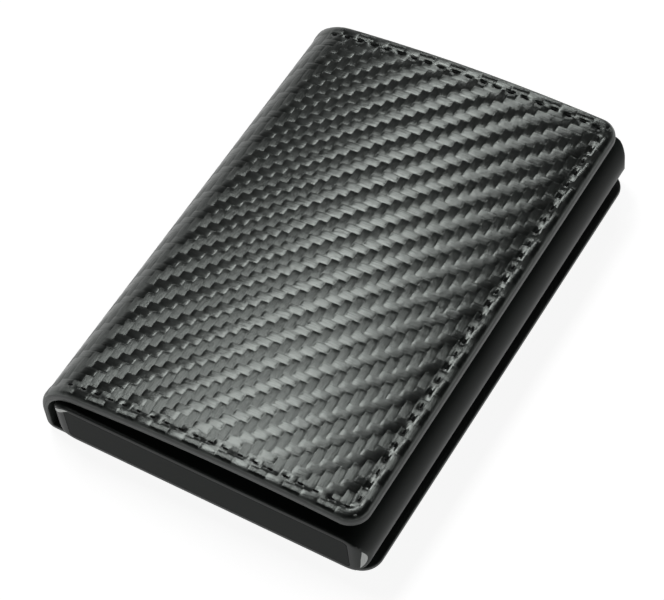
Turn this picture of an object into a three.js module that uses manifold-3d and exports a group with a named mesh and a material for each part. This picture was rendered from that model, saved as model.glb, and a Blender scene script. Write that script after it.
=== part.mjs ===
// Folding leather cover bonded to a pop-up aluminium card case.
// Millimetres, +Z up. The closed wallet lies on its back panel: the spine is at -X, the open side
// at +X, the closed end of the card case at -Y and its card mouth at +Y.
import * as THREE from 'three';
import { mergeVertices } from 'three/addons/utils/BufferGeometryUtils.js';
import Module from 'manifold-3d';

// ---------- driving dimensions ----------
const WALLET_WIDTH = 68;         // outside of the spine to the free edge of the back panel
const COVER_LENGTH = 97;         // flap, spine and back panel along Y
const CORNER_RADIUS = 4;         // free corners of the cover, seen from above
const FLAP_FREE_EDGE = 32.9;     // X of the flap's opening edge

const SPINE_OUTSIDE = -WALLET_WIDTH / 2;
const BACK_FREE_EDGE = WALLET_WIDTH / 2;
const UPPER_ROUND = 9.7;         // outer radius from spine to flap
const LOWER_ROUND = 2;           // outer radius from spine to back panel
const CROWN_TOP = 17.4;          // the flap is highest along the line X = CROWN_X
const CROWN_X = 12;
const CROWN_BEND = 0.00166;      // and falls away from it by this much for each mm squared

const SKIN = 0.9;                // embossed outer leather
const BOARD = 0.5;               // stiffener between the leathers
const LINING = 0.6;
const GLUE_GAP = 0.1;            // between layers that are glued together
const GLUE_LINE = 0.05;          // between small parts and the wall they are glued to
const HINGE_GAP = 0.3;           // slit at each fold line, from skin to skin
const EDGE_SETBACK = 2.8;        // boards and pockets stop this far inside the edge

const STITCH_INSET = 2.3;        // stitch line to cover edge
const THREAD_WIDTH = 0.6;
const THREAD_HEIGHT = 0.35;
const GROOVE_SIDE = 0.3;         // clearance each side of the thread

const CASE_WIDTH = 65.3;
const CASE_CENTRE_X = 1.35;
const CASE_LENGTH = 98.8;
const CASE_BOTTOM = 2.0;
const CASE_THICKNESS = 9.8;
const CASE_WALL = 1.0;
const CASE_CORNER = 3.0;         // rounding of the case's four corners, seen from above
const CAVITY_WIDTH = 58.2;       // the half-round sides outside it are nearly solid
const CAVITY_ROUND = 0.8;
const CARD_SPACE_WIDTH = 54.6;   // an ISO card is 54.0 wide
const CLOSE_FIT = 0.1;

const FELT_SIZE = [40, 7, 0.5];  // grip strips: across, along and thick
const KEEPER_SPAN = [-22, 30];   // the steel strip that the flap's magnet holds on to, along Y
const KEEPER_THICK = 0.3;

const PLUG_DEPTH = 2.5;          // end cap and mouth frame, along Y
const MOUTH_WIDTH = 55;
const MOUTH_HEIGHT = 6.2;

const PIVOT_X = -22.2;
const PIVOT_Y = -42.9;
const BOSS_RADIUS = 3.4;
const PIN_RADIUS = 1.25;
const PIN_CLEARANCE = 0.08;
const LEVER_END_X = 26.6;
const LEVER_BOTTOM = 3.6;
const STEP_COUNT = 5;            // one step for each card in the stack
const STEP_HEIGHT = 1.2;
const STEP_TREAD = 1.2;          // each lower card is pushed this much further
const EJECT_ANGLE = 22 * Math.PI / 180;
const KNOB_REACH = 40;           // pivot to thumb knob
const KNOB_RADIUS = 3.4;
const KNOB_HEIGHT = 1.1;
const KNOB_LIFT = 0.3;
const STEM_RADIUS = 1.3;
const SLOT_CLEARANCE = 0.35;
const SCREW_RADIUS = 0.6;
const SCREW_HEAD_RADIUS = 1.1;
const SCREW_HEAD_HEIGHT = 0.6;

const WIRE = 0.5;                // return spring wire
const COIL_RADIUS = 2.1;
const COIL_TURNS = 2.5;
const COIL_PITCH = 0.65;

const HALF_COVER = COVER_LENGTH / 2;
const HALF_CASE = CASE_LENGTH / 2;
const CASE_TOP = CASE_BOTTOM + CASE_THICKNESS;
const CAVITY_BOTTOM = CASE_BOTTOM + CASE_WALL;
const CAVITY_TOP = CASE_TOP - CASE_WALL;
const CAVITY_MIDDLE = (CAVITY_BOTTOM + CAVITY_TOP) / 2;
const QUARTER = Math.PI / 2;

const wasm = await Module();
wasm.setup();

// ---------- geometry helpers ----------
function toSolid(geometry) {
  const bare = geometry.clone();
  bare.deleteAttribute('normal');
  bare.deleteAttribute('uv');
  const merged = mergeVertices(bare, 1e-5);
  return new wasm.Manifold(new wasm.Mesh({
    numProp: 3,
    vertProperties: new Float32Array(merged.attributes.position.array),
    triVerts: new Uint32Array(merged.index.array),
  }));
}

function toGeometry(solid) {
  const mesh = solid.getMesh();
  const geometry = new THREE.BufferGeometry();
  geometry.setAttribute('position', new THREE.BufferAttribute(new Float32Array(mesh.vertProperties), 3));
  geometry.setIndex(new THREE.BufferAttribute(new Uint32Array(mesh.triVerts), 1));
  geometry.computeVertexNormals();
  return geometry;
}

// A shape drawn in X and Y, from height z0 to z1.
function plate(shape, z0, z1, curveSegments = 6) {
  const geometry = new THREE.ExtrudeGeometry(shape, { depth: z1 - z0, bevelEnabled: false, curveSegments });
  return geometry.translate(0, 0, z0);
}

// A shape drawn in X and Z, from y0 to y1.
function along(shape, y0, y1, curveSegments = 8) {
  const geometry = new THREE.ExtrudeGeometry(shape, { depth: y1 - y0, bevelEnabled: false, curveSegments });
  return geometry.rotateX(QUARTER).translate(0, y1, 0);
}

function shapeThrough(points) {
  return new THREE.Shape(points.map(([a, b]) => new THREE.Vector2(a, b)));
}

// A rectangle with its own radius at each side: left corners, then right corners.
function roundedRectangle(x0, x1, y0, y1, left, right = left) {
  const shape = new THREE.Shape();
  shape.moveTo(x0 + left, y0);
  shape.lineTo(x1 - right, y0);
  if (right > 0) shape.absarc(x1 - right, y0 + right, right, -QUARTER, 0);
  shape.lineTo(x1, y1 - right);
  if (right > 0) shape.absarc(x1 - right, y1 - right, right, 0, QUARTER);
  shape.lineTo(x0 + left, y1);
  if (left > 0) shape.absarc(x0 + left, y1 - left, left, QUARTER, 2 * QUARTER);
  shape.lineTo(x0, y0 + left);
  if (left > 0) shape.absarc(x0 + left, y0 + left, left, 2 * QUARTER, 3 * QUARTER);
  return shape;
}

function cylinder(x, y, radius, z0, z1, sides = 24) {
  const geometry = new THREE.CylinderGeometry(radius, radius, z1 - z0, sides);
  return geometry.rotateX(QUARTER).translate(x, y, (z0 + z1) / 2);
}

function block(x0, x1, y0, y1, z0, z1) {
  const geometry = new THREE.BoxGeometry(x1 - x0, y1 - y0, z1 - z0);
  return geometry.translate((x0 + x1) / 2, (y0 + y1) / 2, (z0 + z1) / 2);
}

// ---------- the cover's outer surface, as a curve in X and Z ----------
// Each point carries the outward normal, so that a layer is the band between two depths under it.
function arcPoints(cx, cz, radius, from, to, steps) {
  return Array.from({ length: steps + 1 }, (_, i) => {
    const angle = from + (to - from) * i / steps;
    const n = [Math.cos(angle), Math.sin(angle)];
    return { x: cx + radius * n[0], z: cz + radius * n[1], n };
  });
}

const crownHeight = (x) => CROWN_TOP - CROWN_BEND * (x - CROWN_X) ** 2;
const crownSlope = (x) => 2 * CROWN_BEND * (CROWN_X - x);

// The flap's slope where the upper round runs into it without a kink, as an angle.
function slopeAtFold() {
  let lean = 0;
  for (let i = 0; i < 20; i += 1) {
    lean = Math.atan(crownSlope(SPINE_OUTSIDE + UPPER_ROUND * (1 - Math.sin(lean))));
  }
  return lean;
}

const LEAN = slopeAtFold();
const FOLD_X = SPINE_OUTSIDE + UPPER_ROUND * (1 - Math.sin(LEAN));
const UPPER_CENTRE = [SPINE_OUTSIDE + UPPER_ROUND, crownHeight(FOLD_X) - UPPER_ROUND * Math.cos(LEAN)];
const LOWER_CENTRE = [SPINE_OUTSIDE + LOWER_ROUND, LOWER_ROUND];

function crownPoints(steps) {
  return Array.from({ length: steps }, (_, i) => {
    const x = FOLD_X + (FLAP_FREE_EDGE - FOLD_X) * (i + 1) / steps;
    const length = Math.hypot(crownSlope(x), 1);
    return { x, z: crownHeight(x), n: [-crownSlope(x) / length, 1 / length] };
  });
}

const foldTrim = (radius) => HINGE_GAP / 2 / radius;
const flapCurve = [
  ...arcPoints(...UPPER_CENTRE, UPPER_ROUND, 1.5 * QUARTER - foldTrim(UPPER_ROUND), QUARTER + LEAN, 5),
  ...crownPoints(20),
];
const spineCurve = [
  ...arcPoints(...LOWER_CENTRE, LOWER_ROUND, 2.5 * QUARTER - foldTrim(LOWER_ROUND), 2 * QUARTER, 3),
  ...arcPoints(...UPPER_CENTRE, UPPER_ROUND, 2 * QUARTER, 1.5 * QUARTER + foldTrim(UPPER_ROUND), 5),
];
const backCurve = [
  { x: BACK_FREE_EDGE, z: 0, n: [0, -1] },
  ...arcPoints(...LOWER_CENTRE, LOWER_ROUND, 3 * QUARTER, 2.5 * QUARTER + foldTrim(LOWER_ROUND), 3),
];

// The band of material between two depths under a stretch of the outer surface.
function bandShape(curve, outerDepth, innerDepth) {
  const at = (depth) => curve.map((p) => [p.x - p.n[0] * depth, p.z - p.n[1] * depth]);
  return shapeThrough([...at(outerDepth), ...at(innerDepth).reverse()]);
}

function band(curve, outerDepth, innerDepth) {
  return toSolid(along(bandShape(curve, outerDepth, innerDepth), -HALF_COVER, HALF_COVER));
}

function layer(curve, outerDepth, innerDepth, outline) {
  return band(curve, outerDepth, innerDepth).intersect(toSolid(plate(outline, -5, 25)));
}

// ---------- plan outlines of the cover ----------
const BEYOND_SPINE = SPINE_OUTSIDE - 5;

function coverOutline(freeEdge, setback = 0) {
  const y = HALF_COVER - setback;
  return roundedRectangle(BEYOND_SPINE, freeEdge - setback, -y, y, 0, CORNER_RADIUS - setback / 2);
}

function insetPanel(x0, x1, setback) {
  const y = HALF_COVER - setback;
  return roundedRectangle(x0, x1, -y, y, 1);
}

// A U that follows the stitch line: along one end, up the free edge and back along the other end.
function stitchPrism(freeEdge, spineEnd, width) {
  const prism = (inset, x0) => {
    const y = HALF_COVER - inset;
    return toSolid(plate(roundedRectangle(x0, freeEdge - inset, -y, y, 0, CORNER_RADIUS - inset), -5, 25));
  };
  const outer = prism(STITCH_INSET - width / 2, spineEnd);
  return outer.subtract(prism(STITCH_INSET + width / 2, spineEnd - 5));
}

// ---------- cover pieces ----------
const LINING_DEPTH = SKIN + BOARD + 2 * GLUE_GAP;
const POCKET_DEPTH = LINING_DEPTH + LINING + GLUE_GAP;
const POCKET = 0.4;
const FLAT_START = FOLD_X + 2.5;
const MAGNET_START = 21;
const MAGNET_END = 28.5;
const FLAP_STITCH_START = FOLD_X - 3.5;
const BACK_STITCH_START = LOWER_CENTRE[0] + 1;

function thread(curve, freeEdge, spineEnd) {
  return toGeometry(band(curve, 0.05, THREAD_HEIGHT).intersect(stitchPrism(freeEdge, spineEnd, THREAD_WIDTH)));
}

function skinWithGroove(curve, freeEdge, spineEnd) {
  const wider = stitchPrism(freeEdge, spineEnd - GROOVE_SIDE, THREAD_WIDTH + 2 * GROOVE_SIDE);
  const groove = band(curve, -1, THREAD_HEIGHT + GROOVE_SIDE).intersect(wider);
  return toGeometry(layer(curve, 0, SKIN, coverOutline(freeEdge)).subtract(groove));
}

const flapSkin = () => skinWithGroove(flapCurve, FLAP_FREE_EDGE, FLAP_STITCH_START);
const backSkin = () => skinWithGroove(backCurve, BACK_FREE_EDGE, BACK_STITCH_START);
const flapThread = () => thread(flapCurve, FLAP_FREE_EDGE, FLAP_STITCH_START);
const backThread = () => thread(backCurve, BACK_FREE_EDGE, BACK_STITCH_START);

function flapBoard() {
  const outline = insetPanel(FLAT_START, MAGNET_START - 1, EDGE_SETBACK);
  return toGeometry(layer(flapCurve, SKIN + GLUE_GAP, SKIN + GLUE_GAP + BOARD, outline));
}

function flapMagnet() {
  const outline = insetPanel(MAGNET_START, MAGNET_END, 18);
  return toGeometry(layer(flapCurve, SKIN + GLUE_GAP, SKIN + GLUE_GAP + BOARD, outline));
}

function flapLining() {
  return toGeometry(layer(flapCurve, LINING_DEPTH, LINING_DEPTH + LINING, coverOutline(FLAP_FREE_EDGE, 0.1)));
}

// Pocket panels lie on the lining; the upper one stops short so that its mouth is free.
function flapPocket(x1, depth) {
  const outline = insetPanel(FLAT_START + 1, x1, EDGE_SETBACK);
  return toGeometry(layer(flapCurve, depth, depth + POCKET, outline));
}

function spineLayer(outerDepth, innerDepth, shorter) {
  return along(bandShape(spineCurve, outerDepth, innerDepth), -HALF_COVER + shorter, HALF_COVER - shorter);
}

function backLayer(z0, z1, x0, setback) {
  const y = HALF_COVER - setback;
  const outline = roundedRectangle(x0, BACK_FREE_EDGE - setback, -y, y, 1, CORNER_RADIUS - setback / 2);
  return plate(outline, z0, z1);
}

// ---------- card case pieces ----------
function obround(width, height, middle) {
  return roundedRectangle(
    CASE_CENTRE_X - width / 2, CASE_CENTRE_X + width / 2, middle - height / 2, middle + height / 2, height / 2,
  );
}

function cavityShape(clearance, round = CAVITY_ROUND) {
  const half = CAVITY_WIDTH / 2 - clearance;
  return roundedRectangle(
    CASE_CENTRE_X - half, CASE_CENTRE_X + half, CAVITY_BOTTOM + clearance, CAVITY_TOP - clearance, round,
  );
}

// The path of the knob's stem, as an arc-shaped slot with round ends.
function stemSlot() {
  const half = STEM_RADIUS + SLOT_CLEARANCE;
  const shape = new THREE.Shape();
  const end = (angle) => [PIVOT_X + KNOB_REACH * Math.cos(angle), PIVOT_Y + KNOB_REACH * Math.sin(angle)];
  shape.absarc(PIVOT_X, PIVOT_Y, KNOB_REACH + half, 0, EJECT_ANGLE);
  shape.absarc(...end(EJECT_ANGLE), half, EJECT_ANGLE, EJECT_ANGLE + Math.PI);
  shape.absarc(PIVOT_X, PIVOT_Y, KNOB_REACH - half, EJECT_ANGLE, 0, true);
  shape.absarc(...end(0), half, Math.PI, 2 * Math.PI);
  return shape;
}

function caseShell() {
  const shape = obround(CASE_WIDTH, CASE_THICKNESS, CASE_BOTTOM + CASE_THICKNESS / 2);
  shape.holes.push(cavityShape(0));
  const tube = toSolid(along(shape, -HALF_CASE, HALF_CASE));
  const half = CASE_WIDTH / 2;
  const plan = roundedRectangle(CASE_CENTRE_X - half, CASE_CENTRE_X + half, -HALF_CASE, HALF_CASE, CASE_CORNER);
  const rounded = tube.intersect(toSolid(plate(plan, 0, 20)));
  return toGeometry(rounded.subtract(toSolid(plate(stemSlot(), CAVITY_MIDDLE, 20))));
}

function endCap() {
  return along(cavityShape(CLOSE_FIT), -HALF_CASE, -HALF_CASE + PLUG_DEPTH);
}

function mouthFrame() {
  const shape = cavityShape(CLOSE_FIT);
  const half = MOUTH_WIDTH / 2;
  const low = CAVITY_MIDDLE - MOUTH_HEIGHT / 2;
  const high = CAVITY_MIDDLE + MOUTH_HEIGHT / 2;
  shape.holes.push(roundedRectangle(CASE_CENTRE_X - half, CASE_CENTRE_X + half, low, high, CAVITY_ROUND));
  return along(shape, HALF_CASE - PLUG_DEPTH, HALF_CASE);
}

// Side strips that centre the cards; side is -1 at the spine and 1 at the open side.
function cardGuide(side) {
  const outer = CASE_CENTRE_X + side * (CAVITY_WIDTH / 2 - CLOSE_FIT);
  const inner = CASE_CENTRE_X + side * CARD_SPACE_WIDTH / 2;
  const x0 = Math.min(outer, inner);
  const x1 = Math.max(outer, inner);
  const shape = roundedRectangle(x0, x1, CAVITY_BOTTOM + CAVITY_ROUND, CAVITY_TOP - CAVITY_ROUND, 0.3);
  return along(shape, -HALF_CASE + PLUG_DEPTH + 1, HALF_CASE - PLUG_DEPTH - 0.5, 3);
}

// Felt strips just inside the mouth, on the lower and the upper wall.
function gripFelt(z0) {
  const [across, deep, thick] = FELT_SIZE;
  const near = HALF_CASE - PLUG_DEPTH - deep - 2;
  return block(CASE_CENTRE_X - across / 2, CASE_CENTRE_X + across / 2, near, near + deep, z0, z0 + thick);
}

function keeperStrip() {
  const top = CAVITY_TOP - GLUE_LINE;
  return block(MAGNET_START, MAGNET_END - 1.5, ...KEEPER_SPAN, top - KEEPER_THICK, top);
}

// ---------- ejector pieces ----------
function ejectorLever() {
  const back = PIVOT_Y - BOSS_RADIUS;
  const overlap = 0.2;
  let lever = toSolid(cylinder(PIVOT_X, PIVOT_Y, BOSS_RADIUS, LEVER_BOTTOM, LEVER_BOTTOM + 3 * STEP_HEIGHT, 32));
  for (let i = 0; i < STEP_COUNT; i += 1) {
    const z0 = LEVER_BOTTOM + i * STEP_HEIGHT;
    const front = PIVOT_Y + BOSS_RADIUS + STEP_TREAD * (2 - i);
    const start = i < 3 ? PIVOT_X : PIVOT_X + BOSS_RADIUS + 1.5;
    const bottom = i > 0 ? z0 - overlap : z0;
    lever = lever.add(toSolid(block(start, LEVER_END_X, back, front, bottom, z0 + STEP_HEIGHT)));
  }
  const bore = cylinder(PIVOT_X, PIVOT_Y, PIN_RADIUS + PIN_CLEARANCE, 0, 20);
  const knobX = PIVOT_X + KNOB_REACH;
  const screwHole = cylinder(knobX, PIVOT_Y, SCREW_RADIUS + CLOSE_FIT, 0, 20);
  const headHole = cylinder(knobX, PIVOT_Y, SCREW_HEAD_RADIUS + CLOSE_FIT, 0, SCREW_SEAT);
  return toGeometry(lever.subtract(toSolid(bore)).subtract(toSolid(screwHole)).subtract(toSolid(headHole)));
}

const LEVER_TOP = LEVER_BOTTOM + STEP_COUNT * STEP_HEIGHT;
const SCREW_SEAT = LEVER_TOP - 2.2;
const KNOB_BASE = CASE_TOP + KNOB_LIFT;

function thumbKnob() {
  const x = PIVOT_X + KNOB_REACH;
  const stem = toSolid(cylinder(x, PIVOT_Y, STEM_RADIUS, LEVER_TOP + 0.05, KNOB_BASE + 0.5));
  const dished = new THREE.LatheGeometry([
    new THREE.Vector2(0, 0),
    new THREE.Vector2(KNOB_RADIUS, 0),
    new THREE.Vector2(KNOB_RADIUS, KNOB_HEIGHT * 0.7),
    new THREE.Vector2(KNOB_RADIUS - 0.4, KNOB_HEIGHT),
    new THREE.Vector2(0, KNOB_HEIGHT * 0.75),
  ], 32).rotateX(QUARTER).translate(x, PIVOT_Y, KNOB_BASE);
  const screwHole = cylinder(x, PIVOT_Y, SCREW_RADIUS + CLOSE_FIT, 0, CASE_TOP);
  return toGeometry(stem.add(toSolid(dished)).subtract(toSolid(screwHole)));
}

function knobScrew() {
  const x = PIVOT_X + KNOB_REACH;
  const head = toSolid(cylinder(x, PIVOT_Y, SCREW_HEAD_RADIUS, SCREW_SEAT - SCREW_HEAD_HEIGHT, SCREW_SEAT - 0.05));
  const shank = toSolid(cylinder(x, PIVOT_Y, SCREW_RADIUS, SCREW_SEAT - 0.2, CASE_TOP - 0.3));
  return toGeometry(head.add(shank));
}

function pivotPin() {
  return cylinder(PIVOT_X, PIVOT_Y, PIN_RADIUS, CAVITY_BOTTOM + 0.05, CAVITY_TOP - 0.05);
}

function pivotWasher() {
  const shape = new THREE.Shape().absarc(PIVOT_X, PIVOT_Y, BOSS_RADIUS - 0.4, 0, 2 * Math.PI);
  shape.holes.push(new THREE.Path().absarc(PIVOT_X, PIVOT_Y, PIN_RADIUS + PIN_CLEARANCE, 0, 2 * Math.PI, true));
  return plate(shape, CAVITY_BOTTOM + 0.05, LEVER_BOTTOM - 0.1, 12);
}

// Torsion spring: coil round the pin, one leg to the end cap and one leg to the back of the lever's arm.
class SpringPath extends THREE.Curve {
  getPoint(t, target = new THREE.Vector3()) {
    const legShare = 0.12;
    const base = LEVER_BOTTOM + 3 * STEP_HEIGHT + WIRE;
    const turn = THREE.MathUtils.clamp((t - legShare) / (1 - 2 * legShare), 0, 1);
    const angle = -QUARTER - turn * COIL_TURNS * 2 * Math.PI;
    const leg = Math.max(legShare - t, t - 1 + legShare, 0) / legShare * 2.6;
    const tangent = t < 0.5 ? 1 : -1;
    return target.set(
      PIVOT_X + COIL_RADIUS * Math.cos(angle) - leg * tangent * Math.sin(angle),
      PIVOT_Y + COIL_RADIUS * Math.sin(angle) + leg * tangent * Math.cos(angle),
      base + turn * COIL_TURNS * COIL_PITCH,
    );
  }
}

function returnSpring() {
  const section = new THREE.Shape().absarc(0, 0, WIRE / 2, 0, 2 * Math.PI);
  return new THREE.ExtrudeGeometry(section, { extrudePath: new SpringPath(), steps: 60, curveSegments: 3 });
}

// ---------- materials ----------
const material = (color, roughness, metalness) => new THREE.MeshStandardMaterial({ color, roughness, metalness });
const carbonLeather = material(0x4a4d4b, 0.35, 0);
const liningLeather = material(0x191b1a, 0.6, 0);
const boardGrey = material(0x77746c, 0.9, 0);
const threadBlack = material(0x0c0d0c, 0.7, 0);
const anodised = material(0x1f2422, 0.35, 0.8);
const blackPlastic = material(0x2a2e2c, 0.45, 0);
const steel = material(0x9a9c9a, 0.3, 1);
const brass = material(0xb08d4a, 0.3, 1);
const felt = material(0x202220, 1, 0);
const adhesive = material(0x8a8a80, 0.8, 0);
const magnetRubber = material(0x2c2a28, 0.7, 0.1);

// ---------- assembly ----------
const wallet = new THREE.Group();

function place(name, geometry, finish) {
  const mesh = new THREE.Mesh(geometry, finish);
  mesh.name = name;
  wallet.add(mesh);
}

const BACK_BOARD_BASE = SKIN + GLUE_LINE;
const BACK_LINING_BASE = BACK_BOARD_BASE + 0.3;
const BACK_TOP = BACK_LINING_BASE + 0.35;
const SPINE_INSIDE = SPINE_OUTSIDE + SKIN + LINING + 1;

place('back_skin', backSkin(), carbonLeather);
place('back_board', backLayer(BACK_BOARD_BASE, BACK_LINING_BASE - GLUE_LINE, SPINE_INSIDE, EDGE_SETBACK), boardGrey);
place('back_lining', backLayer(BACK_LINING_BASE, BACK_TOP, SPINE_INSIDE, 0.3), liningLeather);
place('case_adhesive_pad', backLayer(BACK_TOP + GLUE_LINE, CASE_BOTTOM - GLUE_LINE, -24, 8), adhesive);
place('back_stitching', backThread(), threadBlack);
place('spine_skin', spineLayer(0, SKIN, 0), carbonLeather);
place('spine_lining', spineLayer(SKIN + GLUE_GAP, SKIN + GLUE_GAP + 0.4, 0.1), liningLeather);
place('flap_skin', flapSkin(), carbonLeather);
place('flap_board', flapBoard(), boardGrey);
place('flap_magnet_strip', flapMagnet(), magnetRubber);
place('flap_lining', flapLining(), liningLeather);
place('flap_pocket_lower', flapPocket(26, POCKET_DEPTH), liningLeather);
place('flap_pocket_upper', flapPocket(10, POCKET_DEPTH + POCKET + GLUE_GAP), liningLeather);
place('flap_stitching', flapThread(), threadBlack);

place('case_shell', caseShell(), anodised);
place('end_cap', endCap(), blackPlastic);
place('mouth_frame', mouthFrame(), blackPlastic);
place('card_guide_left', cardGuide(-1), blackPlastic);
place('card_guide_right', cardGuide(1), blackPlastic);
place('grip_felt_lower', gripFelt(CAVITY_BOTTOM + GLUE_LINE), felt);
place('grip_felt_upper', gripFelt(CAVITY_TOP - GLUE_LINE - FELT_SIZE[2]), felt);
place('keeper_strip', keeperStrip(), steel);

place('ejector_lever', ejectorLever(), blackPlastic);
place('thumb_knob', thumbKnob(), anodised);
place('knob_screw', knobScrew(), steel);
place('pivot_pin', pivotPin(), brass);
place('pivot_washer', pivotWasher(), brass);
place('return_spring', returnSpring(), steel);

export default wallet;
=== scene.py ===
"""Looks of a folding leather wallet wrapped round a metal card case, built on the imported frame.

Lengths in this script are millimetres in the frame's axes: the spine is at -X, the open side at +X, the
closed end of the card case at -Y, and +Z is up through the flap. mesh_object() turns them into metres.
"""
import math

import bpy
import numpy as np
from mathutils import Matrix, Vector


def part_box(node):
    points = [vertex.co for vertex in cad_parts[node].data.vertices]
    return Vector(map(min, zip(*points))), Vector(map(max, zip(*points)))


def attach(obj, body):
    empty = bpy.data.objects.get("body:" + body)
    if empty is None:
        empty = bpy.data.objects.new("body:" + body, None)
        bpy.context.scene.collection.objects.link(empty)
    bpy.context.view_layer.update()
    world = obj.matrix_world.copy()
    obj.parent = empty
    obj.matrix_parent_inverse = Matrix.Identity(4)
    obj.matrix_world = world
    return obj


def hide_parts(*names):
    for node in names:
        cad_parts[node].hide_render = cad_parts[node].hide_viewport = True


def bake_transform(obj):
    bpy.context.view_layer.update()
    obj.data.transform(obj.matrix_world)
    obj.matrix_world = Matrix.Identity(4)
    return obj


MM = 0.001

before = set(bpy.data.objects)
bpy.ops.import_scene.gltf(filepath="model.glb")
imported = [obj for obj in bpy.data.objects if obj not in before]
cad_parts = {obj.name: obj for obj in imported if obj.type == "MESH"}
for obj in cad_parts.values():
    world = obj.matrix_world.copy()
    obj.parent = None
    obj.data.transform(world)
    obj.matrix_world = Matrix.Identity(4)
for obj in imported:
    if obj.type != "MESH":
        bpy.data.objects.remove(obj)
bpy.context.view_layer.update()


def node_box(name):
    """Lowest and highest corner of a CAD node, in millimetres."""
    low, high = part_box(name)
    return np.array(low) / MM, np.array(high) / MM


# ---------- driving dimensions, from the frame ----------
_, FLAP_HIGH = node_box("flap_skin")
SPINE_LOW, _ = node_box("spine_skin")
_, BACK_HIGH = node_box("back_skin")
CASE_LOW, CASE_HIGH = node_box("case_shell")
CAP_LOW, CAP_HIGH = node_box("end_cap")
PIN_LOW, PIN_HIGH = node_box("pivot_pin")
KNOB_LOW, KNOB_HIGH = node_box("thumb_knob")
LOWER_POCKET_LOW, LOWER_POCKET_HIGH = node_box("flap_pocket_lower")
UPPER_POCKET_LOW, UPPER_POCKET_HIGH = node_box("flap_pocket_upper")

HALF_COVER = FLAP_HIGH[1]
FLAP_EDGE = FLAP_HIGH[0]
BACK_EDGE = BACK_HIGH[0]
SPINE_X = SPINE_LOW[0]
CROWN_TOP = FLAP_HIGH[2]

UPPER_ROUND = 9.7          # outer radius from spine to flap
LOWER_ROUND = 2.0          # outer radius from spine to back panel
CROWN_X = 12.0             # the flap is highest along this line
CROWN_BEND = 0.00166       # and falls away from it by this much for each mm squared
CORNER = 4.0               # plan radius of the cover's free corners
FLAP_THICK = 2.2           # leather, board and lining together
SPINE_THICK = 1.45
BACK_THICK = 1.6
SKIN_SHARE = 0.47          # the outer leather's share of the thickness
LINING_SHARE = 0.74        # share at which the lining starts
LINING_INSET = 0.25
FOLD_START = 0.38          # share of the upper round that stays with the spine when the flap opens

TOW = 1.68                 # width of one tow of the embossed weave
WEAVE_START = (5.7, 0.6)   # along the cover's curve and along Y, where a tow begins
WEAVE_HEIGHT = 0.054
TOW_CUTS = (0.0, 0.08, 0.24, 0.5, 0.76, 0.92)
TOW_FLATNESS = 4           # higher is flatter on top and steeper at the grooves
TOW_FULLNESS = 0.6         # lower is fuller at the shoulders
TOW_CROWN = 0.3            # a tow's sides are lower than its middle by this share

STITCH_INSET = 2.7
STITCH_PAST_FOLD = 4       # the flap's stitches run on past the start of the round
STITCH_FADE = 0.5
STITCH_PITCH = 3.0         # from one stitch to the next
STITCH_LENGTH = 1.35
THREAD_RADIUS = 0.25
THREAD_DEPTH = 0.12        # of a stitch's centre line under the dipped leather
THREAD_SINK = 0.3          # how far a stitch's ends dip below its middle
PIT_DEPTH = 0.18           # each stitch sits in a pit
PIT_HALF_LENGTH = 0.75
PIT_HALF_WIDTH = 0.3
PIT_FLATTENS = 0.8         # share of the weave's height that is lost in it
PUFF = 0.14                # the leather stands proud between stitch line and edge
PUFF_CREST = 1.6           # inset of its highest line
DIP_DEPTH = 0.17           # the stitches pull the leather down
DIP_WIDTH = 4.0
SHEET_INSET = 2.2          # where the flat sheet meets the rounded border
EDGE_ROUND = 0.85          # width of the border's turn over the edge
EDGE_SHARE = 0.42          # and its depth, as a share of the cover's thickness
EDGE_FADE = 1.15           # the weave fades out over this much of the turn, in radians
LEAST_WEAVE = 0.15         # with less weave than this the border is plain

SLAB_COLUMNS = 25
SLAB_SPACING = 0.8
SLAB_RIM = 0.6             # width of a slab's softened edge
SLAB_SHARP = 50            # edges steeper than this stay sharp, in degrees
POCKET_GAP = 0.1           # between the flap's lining and the lower pocket
POCKET_THICK = 0.4
POCKET_STEP = 0.5          # from one pocket's outer face to the next one's
POCKET_CORNER = 1.0
POCKET_STITCH_INSET = 1.3
POCKET_STITCH_END = 0.5    # from the last stitch to the pocket's mouth
POCKET_STITCH_PITCH = 2.4
POCKET_STITCH_LENGTH = 1.7
POCKET_THREAD_RADIUS = 0.16
POCKET_THREAD_LIFT = 0.04  # of a stitch's centre line over the pocket's face
POCKET_THREAD_SINK = 0.2
BESIDE_POCKET = 1.0        # the lower pocket's stitches start this far beside the upper pocket

CASE_ROUND = (CASE_HIGH[2] - CASE_LOW[2]) / 2
CASE_CORNER = 3.0
CASE_RIM = 0.3
FLAT_PIECES = 12           # the case's flat faces are cut into this many strips
CASE_SHARP = 32            # edges of the case steeper than this stay sharp, in degrees
CAVITY_CORNER = 0.8
FIT_GAP = 0.1
KNOB_SWING = 22            # degrees
KNOB_SHARP = 25            # degrees
KNURL_DEPTH = 0.09
KNOB_SLOT_HALF = 1.65      # half width of the slot that the knob's stem moves in
CRESCENT_INSET = 0.5       # from the case's outline to the bare metal
CRESCENT_WIDTH = 0.85
CRESCENT_PROUD = 0.03
CRESCENT_TIP = 0.03        # width left at its ends
CRESCENTS = (              # name, side, and its middle and half span as angles round the case's side
    ("milled_end_left", -1, 126, 34),
    ("milled_end_right", 1, -6, 36),
)
SOFT_ANGLE = 40            # CAD edges steeper than this are softened, in degrees
UV_PER_MM = 0.01

# the camera's place in millimetres, and the directions of its right side and its back
CAMERA_PLACE = (160.754, -215.036, 367.403)
CAMERA_RIGHT = (0.8576, 0.5073, -0.0845)
CAMERA_BACK = (0.3579, -0.4706, 0.8065)
CAMERA_LENS = 133.24
CAMERA_SENSOR = 36.0

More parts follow.
